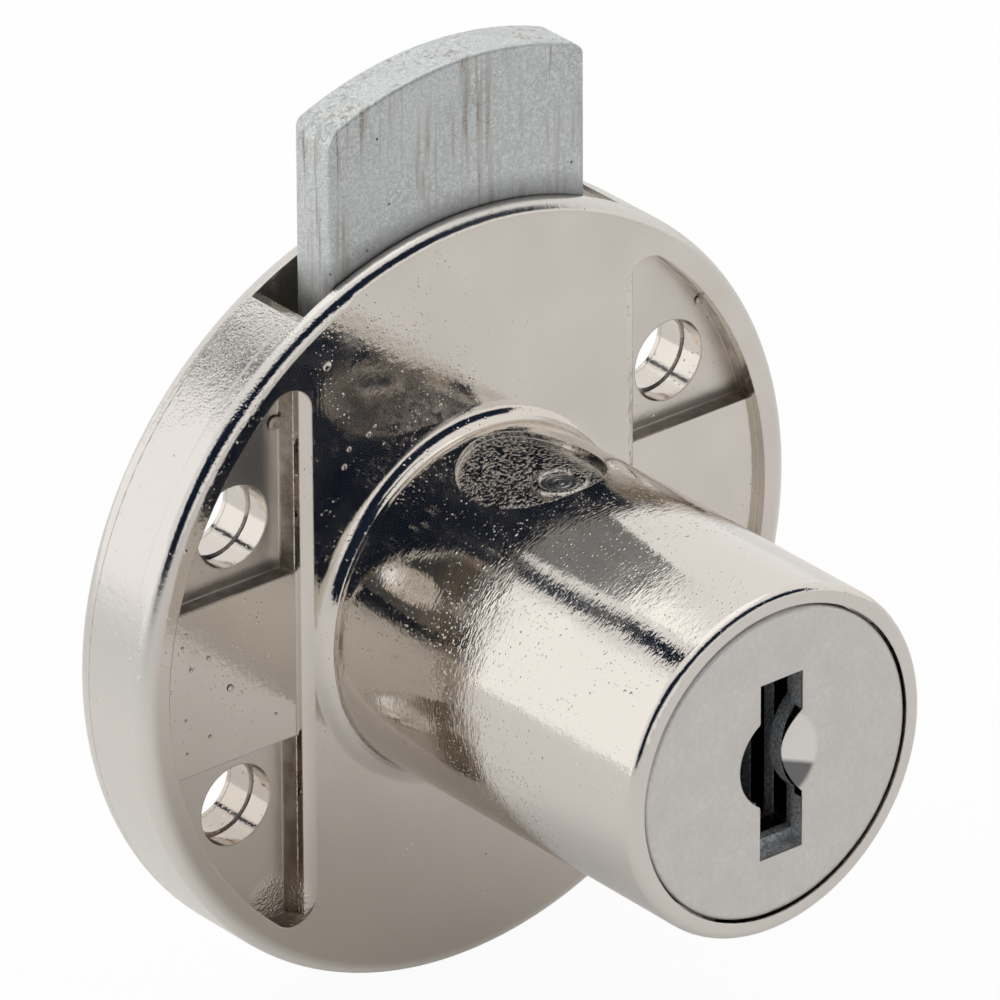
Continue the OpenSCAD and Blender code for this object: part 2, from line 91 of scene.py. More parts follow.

# Tones of streaks and specks on the other metals, and painted shade on the bolt by the slot, in the dish
# and in the wafers
ZINC_STREAK = (0.34, 0.27, 0.21)
ZINC_HAIRLINE = (0.2, 0.19, 0.19)
ZINC_SPECK = (0.07, 0.065, 0.06)
ZINC_SLOT_SHADE = (0.2, 0.2, 0.2)
SATIN_MOTTLE = (0.56, 0.545, 0.535)
DISH_SHADE = (0.07, 0.07, 0.08)
WAFER_SHADE = (0.05, 0.05, 0.055)

# The studio: colour of the dark cloths, and the floor's colour, size and gap below the lock
NAVY = (0.014, 0.023, 0.048)
FLOOR_PAPER = (0.9, 0.9, 0.9)
FLOOR_SIZE = 6
FLOOR_GAP = 0.02 * MM


class LockFinishes(PropertyGroup):
    """Colours and surface grain of the lock's metals."""

    nickel: FloatVectorProperty(
        name="Nickel", description="Colour of the bright nickel plate",
        subtype="COLOR", size=3, min=0, max=1, default=(0.69, 0.637, 0.576),
    )
    nickel_haze: FloatProperty(
        name="Nickel haze", description="Roughness of the bright nickel plate",
        min=0, max=1, default=0.08,
    )
    satin: FloatVectorProperty(
        name="Satin nickel", description="Colour of the plug's satin nickel",
        subtype="COLOR", size=3, min=0, max=1, default=(0.67, 0.642, 0.603),
    )
    satin_haze: FloatProperty(
        name="Satin haze", description="Roughness of the plug's satin nickel",
        min=0, max=1, default=0.36,
    )
    keyway: FloatVectorProperty(
        name="Keyway", description="Colour of the plug's bare metal inside the keyway",
        subtype="COLOR", size=3, min=0, max=1, default=(0.5, 0.51, 0.52),
    )
    zinc: FloatVectorProperty(
        name="Zinc", description="Colour of the raw zinc of the bolt and the cam",
        subtype="COLOR", size=3, min=0, max=1, default=(0.76, 0.785, 0.775),
    )
    zinc_haze: FloatProperty(
        name="Zinc haze", description="Roughness of the raw zinc",
        min=0, max=1, default=0.5,
    )
    brass: FloatVectorProperty(
        name="Brass", description="Colour of the wafers",
        subtype="COLOR", size=3, min=0, max=1, default=(0.72, 0.53, 0.25),
    )
    steel: FloatVectorProperty(
        name="Steel", description="Colour of the springs, the rivets and the retaining pin",
        subtype="COLOR", size=3, min=0, max=1, default=(0.56, 0.55, 0.54),
    )
    peel_size: FloatProperty(
        name="Peel size", description="Width of the fine grain in the nickel plate",
        unit="LENGTH", min=0, precision=6, default=0.34 * MM,
    )
    peel_depth: FloatProperty(
        name="Peel depth", description="Depth of that grain",
        unit="LENGTH", min=0, precision=6, default=0.007 * MM,
    )
    pebble_size: FloatProperty(
        name="Pebble size", description="Width of the pebbles where the plate is rough",
        unit="LENGTH", min=0, precision=6, default=0.13 * MM,
    )
    pebble_depth: FloatProperty(
        name="Pebble depth", description="Depth of those pebbles",
        unit="LENGTH", min=0, precision=6, default=0.024 * MM,
    )
    pit_size: FloatProperty(
        name="Pit size", description="Distance between the finest pits in the plate",
        unit="LENGTH", min=0, precision=6, default=0.24 * MM,
    )
    pit_depth: FloatProperty(
        name="Pit depth", description="Depth of those pits",
        unit="LENGTH", min=0, precision=6, default=0.02 * MM,
    )
    spot_depth: FloatProperty(
        name="Spot pebble depth", description="Depth of the pebbles on the spot face",
        unit="LENGTH", min=0, precision=6, default=0.055 * MM,
    )
    edge_softness: FloatProperty(
        name="Edge softness", description="Radius at which the edges of the casting catch light",
        unit="LENGTH", min=0, precision=6, default=0.1 * MM,
    )


class LockMarks(PropertyGroup):
    """Sizes of the small marks that stand on the casting."""

    stake_outer: FloatProperty(
        name="Stake ring", description="Outer radius of the ring of metal pushed over the retaining pin",
        unit="LENGTH", min=0, precision=6, default=1.42 * MM,
    )
    stake_inner: FloatProperty(
        name="Stake ring bore", description="Inner radius of that ring",
        unit="LENGTH", min=0, precision=6, default=0.88 * MM,
    )
    stake_height: FloatProperty(
        name="Stake ring height", description="Height of that ring from its foot in the spot face",
        unit="LENGTH", min=0, precision=6, default=0.45 * MM,
    )
    stake_proud: FloatProperty(
        name="Stake ring proud", description="How far that ring stands above the retaining pin",
        unit="LENGTH", min=0, precision=6, default=0.1 * MM,
    )
    pimple_radius: FloatProperty(
        name="Pimple radius", description="Radius of the largest pimple in the plate",
        unit="LENGTH", min=0, precision=6, default=0.42 * MM,
    )
    pimple_height: FloatProperty(
        name="Pimple height", description="Height of a pimple as a share of its radius",
        min=0, max=1, default=0.3,
    )


class LockStudio(PropertyGroup):
    """Camera, lamps and backdrop."""

    azimuth: FloatProperty(
        name="Azimuth", description="Turn of the camera round the lock, from straight in front",
        subtype="ANGLE", default=math.radians(-39.47),
    )
    elevation: FloatProperty(
        name="Elevation", description="Height of the camera above the level",
        subtype="ANGLE", default=math.radians(27.55),
    )
    roll: FloatProperty(
        name="Roll", description="Turn of the camera about its own line of sight",
        subtype="ANGLE", default=math.radians(-0.24),
    )
    distance: FloatProperty(
        name="Distance", description="Distance of the camera from the lock",
        unit="LENGTH", min=0, default=700 * MM,
    )
    aim_right: FloatProperty(
        name="Aim right", description="How far the middle of the picture lies to the right of the origin",
        unit="LENGTH", precision=5, default=1.35 * MM,
    )
    aim_up: FloatProperty(
        name="Aim up", description="How far the middle of the picture lies above the origin",
        unit="LENGTH", precision=5, default=4.405 * MM,
    )
    frame_width: FloatProperty(
        name="Frame width", description="Width of the picture at the lock",
        unit="LENGTH", min=0, precision=5, default=48.0 * MM,
    )
    softbox: FloatProperty(
        name="Softbox", description="How much brighter than the room the softbox on the left is",
        min=0, default=0.22,
    )
    overhead: FloatProperty(
        name="Overhead lamp", description="How much brighter than the room the lamp above the lock is",
        min=0, default=0.35,
    )
    daylight: FloatProperty(
        name="Daylight", description="Brightness of the white room as light on the lock",
        min=0, max=1, default=1.0,
    )
    floor_glow: FloatProperty(
        name="Floor glow", description="How far the floor shows as plain white to the camera",
        min=0, max=1, default=0.95,
    )
    floor_mirrored: FloatProperty(
        name="Mirrored floor glow", description="How far the floor shows as plain white in the metal",
        min=0, max=1, default=0.2,
    )


class Finish:
    """The nodes of one metal finish, put together from its grain up to the shader."""

    def __init__(self, name, colour, roughness, metallic=1.0):
        self.material = bpy.data.materials.new(name)
        self.material.use_nodes = True
        self.tree = self.material.node_tree
        self.tree.nodes.clear()
        self.shader = self.add("ShaderNodeBsdfPrincipled", {"Metallic": metallic, "Roughness": roughness})
        self.shader.inputs["Base Color"].default_value = (*colour, 1)
        self.add("ShaderNodeOutputMaterial", {"Surface": self.shader.outputs["BSDF"]})
        self.place = self.add("ShaderNodeTexCoord").outputs["Object"]
        self.normal = None

    def add(self, kind, inputs=None, **settings):
        """Adds a node. Each input takes a value or another node's output."""
        node = self.tree.nodes.new(kind)
        for name, value in settings.items():
            setattr(node, name, value)
        for name, value in (inputs or {}).items():
            self.set(node, name, value)
        return node

    def set(self, node, name, value):
        if isinstance(value, bpy.types.NodeSocket):
            self.tree.links.new(value, node.inputs[name])
        else:
            node.inputs[name].default_value = value

    def axes(self):
        """Distance along X, Y and Z, and distance from the lock's axis."""
        split = self.add("ShaderNodeSeparateXYZ", {0: self.place})
        flat = self.add("ShaderNodeVectorMath", {0: self.place, 1: (1, 0, 1)}, operation="MULTIPLY")
        radius = self.add("ShaderNodeVectorMath", {0: flat.outputs[0]}, operation="LENGTH")
        return split.outputs[0], split.outputs[1], split.outputs[2], radius.outputs["Value"]

    def along(self, direction):
        """Distance from the origin along a direction."""
        way = Vector(direction).normalized()
        dot = self.add("ShaderNodeVectorMath", {0: self.place, 1: way}, operation="DOT_PRODUCT")
        return dot.outputs["Value"]

    def reach(self, centre, radii):
        """0 at a centre, 1 at the ellipsoid of those radii round it, and more outside."""
        scale = [1 / r for r in radii]
        shift = [-c / r for c, r in zip(centre, radii)]
        place = self.add("ShaderNodeMapping", {"Vector": self.place, "Location": shift, "Scale": scale})
        return self.add("ShaderNodeVectorMath", {0: place.outputs[0]}, operation="LENGTH").outputs["Value"]

    def rings(self, centre, pitch):
        """Turned rings of that pitch round an upright axis."""
        out = self.reach(centre, (pitch, pitch, 1))
        turns = self.times(out, 2 * math.pi)
        return self.add("ShaderNodeMath", {0: turns}, operation="SINE").outputs[0]

    def to_screws(self):
        """Distance from the axis of the nearest screw hole."""
        fold = self.add("ShaderNodeVectorMath", {0: self.place}, operation="ABSOLUTE")
        shift = self.add("ShaderNodeVectorMath", {0: fold.outputs[0], 1: SCREW}, operation="SUBTRACT")
        flat = self.add("ShaderNodeVectorMath", {0: shift.outputs[0], 1: (1, 0, 1)}, operation="MULTIPLY")
        return self.add("ShaderNodeVectorMath", {0: flat.outputs[0]}, operation="LENGTH").outputs["Value"]

    def either(self, *values):
        """The largest of the values."""
        most = values[0]
        for value in values[1:]:
            most = self.add("ShaderNodeMath", {0: most, 1: value}, operation="MAXIMUM").outputs[0]
        return most

    def both(self, *values):
        """The product of the values."""
        product = values[0]
        for value in values[1:]:
            product = self.times(product, value)
        return product

    def hairlines(self, size, width):
        """Thin curved lines, as wide as that share of the lumps' size."""
        level = self.noise(size, 1)
        off = self.add("ShaderNodeMath", {0: level, 1: 0.5}, operation="SUBTRACT").outputs[0]
        off = self.add("ShaderNodeMath", {0: off}, operation="ABSOLUTE").outputs[0]
        return self.band(off, width, 0.3 * width)

    def noise(self, size, detail=2, stretch=(1, 1, 1), warp=0):
        """Cloudy grain whose lumps are about size across, drawn out by stretch and curled by warp."""
        scale = [1 / (size * s) for s in stretch]
        place = self.add("ShaderNodeMapping", {"Vector": self.place, "Scale": scale}, vector_type="POINT")
        inputs = {"Vector": place.outputs[0], "Scale": 1, "Detail": detail, "Distortion": warp}
        return self.add("ShaderNodeTexNoise", inputs).outputs[0]

    def dots(self, size, share, width=0.28):
        """Round dots in cells of that size, in about that share of the cells."""
        cells = self.add("ShaderNodeTexVoronoi", {"Vector": self.place, "Scale": 1 / size})
        chosen = self.add("ShaderNodeSeparateColor", {0: cells.outputs["Color"]})
        dot = self.band(cells.outputs["Distance"], width, 0.05)
        return self.times(dot, self.band(chosen.outputs[0], 1 - share, 1 - 0.7 * share))

    def band(self, value, low, high, to_low=0.0, to_high=1.0):
        """Runs from to_low to to_high while the value runs from low to high."""
        turned = low > high
        ends = (high, low, to_high, to_low) if turned else (low, high, to_low, to_high)
        names = ("From Min", "From Max", "To Min", "To Max")
        ramp = self.add("ShaderNodeMapRange", {"Value": value, **dict(zip(names, ends))}, clamp=True)
        return ramp.outputs[0]

    def times(self, a, b):
        return self.add("ShaderNodeMath", {0: a, 1: b}, operation="MULTIPLY").outputs[0]

    def tint(self, factor, colour, other):
        """Goes from one colour to another with the factor."""
        mix = self.add("ShaderNodeMix", {"Factor": factor}, data_type="RGBA")
        for socket, value in ((mix.inputs[6], colour), (mix.inputs[7], other)):
            if isinstance(value, bpy.types.NodeSocket):
                self.tree.links.new(value, socket)
            else:
                socket.default_value = (*value, 1)
        return mix.outputs[2]

    def soften(self, radius):
        """Lets the edges catch light as if they were rounded."""
        self.normal = self.add("ShaderNodeBevel", {"Radius": radius}, samples=4).outputs[0]

    def press(self, height, depth):
        """Presses a grain into the surface."""
        inputs = {"Strength": 1, "Distance": depth, "Height": height}
        if self.normal:
            inputs["Normal"] = self.normal
        self.normal = self.add("ShaderNodeBump", inputs).outputs[0]

    def colour(self, value):
        self.set(self.shader, "Base Color", value)

    def haze(self, value):
        self.set(self.shader, "Roughness", value)

    def bare(self, value):
        """How metallic the surface is, from 0 to 1."""
        self.set(self.shader, "Metallic", value)

    def give(self, *names):
        """Gives the finish to CAD nodes or to new pieces."""
        if self.normal:
            self.set(self.shader, "Normal", self.normal)
        for name in names:
            piece = NODES.get(name) or bpy.data.objects[name]
            if not piece.material_slots:
                piece.data.materials.append(self.material)
            for slot in piece.material_slots:
                slot.material = self.material


def shade(colour, factor):
    """The colour made darker or lighter by a factor."""
    return [min(1, part * factor) for part in colour]


def bright_nickel(finishes):
    """Nickel plate on a rough casting: fine peel all over, and pebbles and pits in patches."""
    finish = Finish("bright_nickel", finishes.nickel, finishes.nickel_haze)
    x, y, z, radius = finish.axes()
    on_front = finish.band(y, 0.3 * MM, 0.05 * MM)
    on_flange = finish.both(on_front, finish.band(y, -0.3 * MM, -0.05 * MM))
    on_barrel = finish.band(y, -0.3 * MM, -1.2 * MM)
    on_rim = finish.band(radius, 19.2 * MM, 19.8 * MM)
    in_recess = finish.band(y, 0.2 * MM, 0.35 * MM)
    below_ledge = finish.both(finish.band(y, 0.55 * MM, 0.62 * MM), finish.band(y, 1.39 * MM, 1.3 * MM))
    far_from_screws = finish.band(finish.to_screws(), 2.3 * MM, 2.5 * MM)
    on_walls = finish.both(below_ledge, far_from_screws, finish.band(radius, 18.8 * MM, 18.6 * MM))
    spot = finish.reach(SPOT, (SPOT_RADIUS, SPOT_RADIUS, 2 * MM))
    on_spot = finish.band(spot, 1.03, 0.98)
    in_tip = finish.band(finish.reach(LOW_TIP, (1.9 * MM, 1.6 * MM, 1.5 * MM)), 1, 0.6)

    # Tone: faint clouds, painted shade low on the left on the flange and in the left recess, a rim painted
    # darker above and lighter below, a paler barrel, brown painted shade in patches on the recesses' walls,
    # and a darker spot face
    cloud = finish.band(finish.noise(5 * MM, 3), 0.35, 0.7)
    tone = finish.tint(cloud, shade(finishes.nickel, 0.95), shade(finishes.nickel, 1.03))
    low_left = finish.band(finish.along(LOW_LEFT_WAY), 2 * MM, 20 * MM)
    in_left_recess = finish.both(in_recess, finish.band(x, 2 * MM, -2 * MM))
    # Painted shade: the flange and the left recess get darker towards the bottom left
    low_left_shade = finish.both(low_left, finish.either(on_flange, in_left_recess))
    tone = finish.tint(low_left_shade, tone, LOW_LEFT_SHADE_NICKEL)
    # Painted shade on the upper rim and painted light on the lower rim
    rim_light_and_shade = finish.tint(finish.band(z, 3 * MM, -1 * MM), UPPER_RIM_SHADE, LOWER_RIM_LIGHT)
    tone = finish.tint(on_rim, tone, rim_light_and_shade)
    tone = finish.tint(finish.times(on_barrel, 0.7), tone, BARREL_NICKEL)
    # Painted shade on the recesses' walls, brown and patchy
    wall_shade = finish.both(on_walls, finish.band(finish.noise(1.1 * MM, 3), 0.38, 0.62, 0.15, 0.8))
    tone = finish.tint(wall_shade, tone, WALL_SHADE)
    tone = finish.tint(finish.times(on_spot, 0.5), tone, SPOT_NICKEL)
    finish.colour(finish.tint(finish.dots(0.8 * MM, 0.07, 0.07), tone, NICKEL_SPECK))

    # Haze: faint smears, more on the walls and floors of the recesses and on the rim away from the slot
    smear = finish.noise(2.2 * MM, 3)
    haze = finish.band(smear, 0.3, 0.75, 0.7 * finishes.nickel_haze, 1.9 * finishes.nickel_haze)
    in_pocket = finish.both(finish.band(y, 1.25 * MM, 1.36 * MM), finish.band(y, 1.6 * MM, 1.45 * MM))
    to_slot = finish.along(SLOT_WAY)
    rubbed_and_shaded = finish.both(on_rim, finish.band(to_slot, 19 * MM, 16 * MM, 0, 0.26))
    finish.haze(finish.either(haze, finish.times(on_walls, 0.3), finish.times(in_pocket, 0.3), rubbed_and_shaded))

    # Large forms: waves round the barrel's root, and a fine crease in the root itself
    finish.soften(finishes.edge_softness)
    near_barrel = finish.band(radius, 15 * MM, 10.5 * MM)
    finish.press(finish.both(finish.noise(3.6 * MM, 1), near_barrel, on_front), 0.05 * MM)
    crease = finish.both(finish.band(y, -0.85 * MM, -0.62 * MM), finish.band(y, -0.4 * MM, -0.62 * MM))
    finish.press(finish.both(crease, finish.band(radius, 10 * MM, 9.8 * MM)), -0.04 * MM)

    # Peel all over, drawn out round the barrel and coarser on the rim, and lines along the left recess
    finish.press(finish.noise(finishes.peel_size, 2), finishes.peel_depth)
    finish.press(finish.both(finish.noise(0.13 * MM, 1, (3.2, 1, 3.2)), on_barrel), 0.005 * MM)
    finish.press(finish.both(finish.noise(0.5 * MM, 2), on_rim), 0.012 * MM)
    beside = finish.both(finish.band(x, -11 * MM, -10.2 * MM), finish.band(x, -8.8 * MM, -9.6 * MM))
    beside = finish.both(beside, on_front)
    finish.press(finish.both(finish.noise(0.12 * MM, 2, (1, 1, 14)), beside), 0.006 * MM)

    # Pebbles: near the slot in the rim, low on the flange, in the recesses and on the spot face
    near_slot = finish.band(to_slot, 18.9 * MM, 19.7 * MM, 0.14, 1)
    patch = finish.band(finish.noise(3 * MM, 2), 0.3, 0.6, 0.45, 1)
    rim_pebbles = finish.both(near_slot, patch, on_rim)
    low_patch = finish.band(finish.reach(LOW_PATCH, (3.6 * MM, 1 * MM, 3.6 * MM)), 1.1, 0.5, 0, 0.7)
    low_pebbles = finish.both(low_patch, on_flange)
    rough = finish.either(rim_pebbles, low_pebbles, finish.times(on_walls, 1.3), finish.times(in_tip, 4))
    finish.press(finish.both(finish.noise(finishes.pebble_size, 2), rough), finishes.pebble_depth)
    spot_pebbles = finish.band(finish.noise(1.3 * finishes.pebble_size, 2), 0.52, 0.76)
    finish.press(finish.both(spot_pebbles, on_spot), finishes.spot_depth)

    # Pits that sparkle, in patches
    pitted = finish.band(finish.noise(2.4 * MM, 2), 0.46, 0.62, 0.1, 1)
    pitted = finish.either(pitted, finish.times(on_barrel, 0.35))
    finish.press(finish.both(finish.dots(finishes.pit_size, 0.4), pitted), finishes.pit_depth)
    finish.press(finish.dots(0.6 * MM, 0.06, 0.2), 0.02 * MM)
    finish.press(finish.both(finish.dots(0.15 * MM, 0.3, 0.3), pitted, on_front), 0.012 * MM)
    return finish


def raw_zinc(finishes):
    """Raw zinc casting: mottled grain, drawn brown streaks, hairlines, dark specks and pits, and painted
    shade just above the slot.
    """
    finish = Finish("raw_zinc", finishes.zinc, finishes.zinc_haze, 0.85)
    _, y, _, radius = finish.axes()
    cloud = finish.band(finish.noise(3 * MM, 4), 0.3, 0.7)
    grey = finish.tint(cloud, shade(finishes.zinc, 0.9), shade(finishes.zinc, 1.06))
    mottle = finish.band(finish.noise(0.3 * MM, 3), 0.32, 0.68)
    grey = finish.tint(mottle, shade(finishes.zinc, 0.8), grey)
    streaks = finish.band(finish.noise(0.36 * MM, 3, (1, 1, 24), 0.8), 0.52, 0.66)
    places = finish.band(finish.noise(2.4 * MM, 2, (1, 1, 3)), 0.38, 0.58)
    streaked = finish.tint(finish.both(streaks, places), grey, ZINC_STREAK)
    lines = finish.hairlines(2.1 * MM, 0.006)
    lines = finish.both(lines, finish.band(finish.noise(2.9 * MM, 1), 0.5, 0.6, 0, 0.6))
    lined = finish.tint(lines, streaked, ZINC_HAIRLINE)
    grains = finish.band(finish.noise(0.1 * MM, 2), 0.36, 0.56)
    speckled = finish.tint(grains, shade(finishes.zinc, 0.7), lined)
    specks = finish.dots(0.7 * MM, 0.1, 0.13)
    spotted = finish.tint(specks, speckled, ZINC_SPECK)
    # Painted shade on the bolt where it comes out of the slot in the case
    by_slot = finish.band(radius, 21.3 * MM, 20.1 * MM)
    rubbed_and_shaded = finish.both(by_slot, finish.band(y, 1.6 * MM, 1.2 * MM, 0, 0.7))
    finish.colour(finish.tint(rubbed_and_shaded, spotted, ZINC_SLOT_SHADE))
    finish.haze(finish.band(cloud, 0, 1, 0.85 * finishes.zinc_haze, 1.2 * finishes.zinc_haze))
    finish.soften(1.2 * finishes.edge_softness)
    finish.press(finish.noise(0.15 * MM, 3), 0.009 * MM)
    finish.press(finish.noise(0.4 * MM, 2, (1, 1, 12)), 0.004 * MM)
    finish.press(specks, -0.03 * MM)
    return finish


def satin_nickel(finishes):
    """Satin plate of the plug: mottled face, smooth dish, and bare grainy metal inside the keyway."""
    finish = Finish("satin_nickel", finishes.satin, finishes.satin_haze)
    x, y, _, radius = finish.axes()
    front = DISH[1]
    bowl = finish.reach(DISH, (DISH_RADIUS, 1, DISH_RADIUS))
    in_dish = finish.both(
        finish.band(y, front + 0.04 * MM, front + 0.1 * MM),
        finish.band(y, front + 0.62 * MM, front + 0.55 * MM),
        finish.band(x, 0.7 * MM, 0.8 * MM),
        finish.band(bowl, 1.02, 1),
    )
    behind = finish.band(y, front + 0.08 * MM, front + 0.2 * MM)
    inside = finish.both(behind, finish.band(in_dish, 1, 0), finish.band(radius, 7.4 * MM, 7.2 * MM))
    cloud = finish.band(finish.noise(1.6 * MM, 4), 0.3, 0.7)
    tone = finish.tint(cloud, shade(finishes.satin, 0.94), shade(finishes.satin, 1.04))
    mottle = finish.band(finish.noise(0.3 * MM, 3), 0.35, 0.65, 0, 0.5)
    tone = finish.tint(mottle, tone, SATIN_MOTTLE)

    # The dish has painted light, a little paler than the face, and painted shade, dark in its lower part
    in_shade = finish.both(in_dish, finish.band(finish.along(DISH_WAY), 0.1 * MM, -0.12 * MM, 0, 0.85))
    tone = finish.tint(in_shade, finish.tint(in_dish, tone, shade(finishes.satin, 1.1)), DISH_SHADE)

    grain = finish.band(finish.noise(0.13 * MM, 2), 0.35, 0.65)
    cast = finish.tint(grain, shade(finishes.keyway, 0.6), shade(finishes.keyway, 1.4))
    finish.colour(finish.tint(inside, tone, cast))
    finish.bare(finish.band(inside, 0, 1, 1, 0.35))
    least, most = 0.9 * finishes.satin_haze, 1.15 * finishes.satin_haze
    smear = finish.band(finish.noise(0.8 * MM, 2), 0.3, 0.7, least, most)
    finish.haze(finish.both(smear, finish.band(in_dish, 0, 1, 1, 0.2)))

    # The face's outer edge is rounder than the edges of the keyway
    least, most = 0.8 * finishes.edge_softness, 3.5 * finishes.edge_softness
    finish.soften(finish.band(radius, 6 * MM, 7.2 * MM, least, most))
    finish.press(finish.noise(0.14 * MM, 2), 0.002 * MM)
    finish.press(finish.both(finish.noise(0.16 * MM, 2), inside), 0.03 * MM)
    return finish


def stamped_brass(finishes):
    """Brass of the wafers, with the fine lines of rolled strip, and painted shade that makes them nearly
    black round the keyway.
    """
    finish = Finish("stamped_brass", finishes.brass, 0.28)
    lines = finish.noise(0.09 * MM, 2, (1, 1, 20))
    lined = finish.band(lines, 0.3, 0.7)
    tone = finish.tint(lined, shade(finishes.brass, 0.85), shade(finishes.brass, 1.08))
    # Painted shade: the middle of each wafer, deep inside the plug, is nearly black
    in_middle = finish.band(finish.reach((0, 0, 0), (3 * MM, 1, 5.2 * MM)), 1.1, 0.95)
    finish.colour(finish.tint(in_middle, tone, WAFER_SHADE))
    finish.haze(finish.band(finish.noise(1.2 * MM, 2), 0.3, 0.7, 0.22, 0.36))
    finish.press(lines, 0.002 * MM)
    return finish


def drawn_steel(finishes):
    """Plain steel of the springs, the rivets and the retaining pin."""
    finish = Finish("drawn_steel", finishes.steel, 0.3)
    cloud = finish.band(finish.noise(0.7 * MM, 3), 0.3, 0.7)
    finish.colour(finish.tint(cloud, shade(finishes.steel, 0.8), shade(finishes.steel, 1.06)))
    finish.haze(finish.band(cloud, 0, 1, 0.38, 0.24))
    finish.press(finish.noise(0.12 * MM, 2), 0.003 * MM)
    return finish


def turned_pin(finishes):
    """Steel of the retaining pin, with the rings that turning left on its end."""
    finish = Finish("turned_pin", finishes.steel, 0.22)
    cloud = finish.band(finish.noise(0.5 * MM, 3), 0.3, 0.7)
    finish.colour(finish.tint(cloud, shade(finishes.steel, 0.75), shade(finishes.steel, 1.05)))
    finish.haze(finish.band(cloud, 0, 1, 0.3, 0.16))
    finish.press(finish.rings(PIN, 0.34 * MM), 0.01 * MM)
    finish.press(finish.noise(0.2 * MM, 2), 0.01 * MM)
    return finish


def deselect_all():
    if bpy.context.mode != "OBJECT":
        bpy.ops.object.mode_set(mode="OBJECT")
    bpy.ops.object.select_all(action="DESELECT")


def named(name):
    """Names the primitive that was added last."""
    piece = bpy.context.active_object
    piece.name = name
    piece.data.name = name
    return piece


def pick_faces(piece, test):
    """Selects the faces for which test(centre, normal) holds, and enters edit mode on faces."""
    bpy.ops.object.mode_set(mode="OBJECT")
    mesh = piece.data
    for part in (mesh.vertices, mesh.edges):
        part.foreach_set("select", [False] * len(part))
    for face in mesh.polygons:
        face.select = test(face.center, face.normal)
    bpy.context.tool_settings.mesh_select_mode = (False, False, True)
    bpy.ops.object.mode_set(mode="EDIT")


def settle(piece, matrix):
    """Puts the place into the mesh, so that the object itself sits at the origin."""
    bpy.ops.object.mode_set(mode="OBJECT")
    piece.data.transform(matrix)
    piece.data.update()


class LOCK_OT_plate_case(Operator):
    """Gives the case and its cover their bright nickel plate"""

    bl_idname = "lock.plate_case"
    bl_label = "Plate the case"

    def execute(self, context):
        bright_nickel(context.scene.lock_finishes).give("case_body", "rear_cover")
        return {"FINISHED"}


class LOCK_OT_cast_bolt(Operator):
    """Gives the bolt and the cam their raw zinc"""

    bl_idname = "lock.cast_bolt"
    bl_label = "Cast the bolt"

    def execute(self, context):
        raw_zinc(context.scene.lock_finishes).give("bolt", "drive_cam")
        return {"FINISHED"}


class LOCK_OT_plate_plug(Operator):
    """Gives the plug its satin plate"""

    bl_idname = "lock.plate_plug"
    bl_label = "Plate the plug"

    def execute(self, context):
        satin_nickel(context.scene.lock_finishes).give("plug")
        return {"FINISHED"}


class LOCK_OT_finish_small_parts(Operator):
    """Gives the wafers their brass, and the springs, rivets and pin their steel"""

    bl_idname = "lock.finish_small_parts"
    bl_label = "Finish the small parts"

    def execute(self, context):
        finishes = context.scene.lock_finishes
        wafers = [name for name in NODES if name.startswith("wafer_") and "spring" not in name]
        springs = [name for name in NODES if name.startswith("wafer_spring_")]
        stamped_brass(finishes).give(*wafers)
        drawn_steel(finishes).give("cover_rivets", *springs)
        turned_pin(finishes).give("retaining_pin")
        return {"FINISHED"}


class LOCK_OT_stake_pin(Operator):
    """Adds the ring of metal that was pushed over the edge of the retaining pin"""

    bl_idname = "lock.stake_pin"
    bl_label = "Stake the retaining pin"

    def execute(self, context):
        marks = context.scene.lock_marks
        low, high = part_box("retaining_pin")
        foot = Vector(((low.x + high.x) / 2, (low.y + high.y) / 2, (low.z + high.z) / 2))
        lean = math.atan2(foot.x, foot.z)
        top = math.hypot(foot.x, foot.z) + (high.z - low.z) / 2
        deselect_all()
        bpy.ops.mesh.primitive_cylinder_add(vertices=48, radius=marks.stake_outer, depth=marks.stake_height)
        ring = named("pin_stake")
        pick_faces(ring, lambda centre, normal: abs(normal.z) > 0.9)
        bpy.ops.mesh.inset(thickness=marks.stake_outer - marks.stake_inner)
        bpy.ops.mesh.bridge_edge_loops()
        bpy.ops.mesh.select_all(action="SELECT")
        bpy.ops.mesh.normals_make_consistent(inside=False)
        bpy.ops.object.mode_set(mode="OBJECT")
        crest = ring.modifiers.new("crest", "BEVEL")
        crest.width = 0.4 * (marks.stake_outer - marks.stake_inner)
        crest.segments = 5
        bpy.ops.object.modifier_apply(modifier="crest")
        bpy.ops.object.shade_smooth_by_angle(angle=math.radians(50))
        turn = Matrix.Rotation(lean, 4, "Y")
        middle = top + marks.stake_proud - marks.stake_height / 2
        settle(ring, Matrix.Translation((0, foot.y, 0)) @ turn @ Matrix.Translation((0, 0, middle)))
        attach(ring, "case")
        bright_nickel(context.scene.lock_finishes).give("pin_stake")
        return {"FINISHED"}


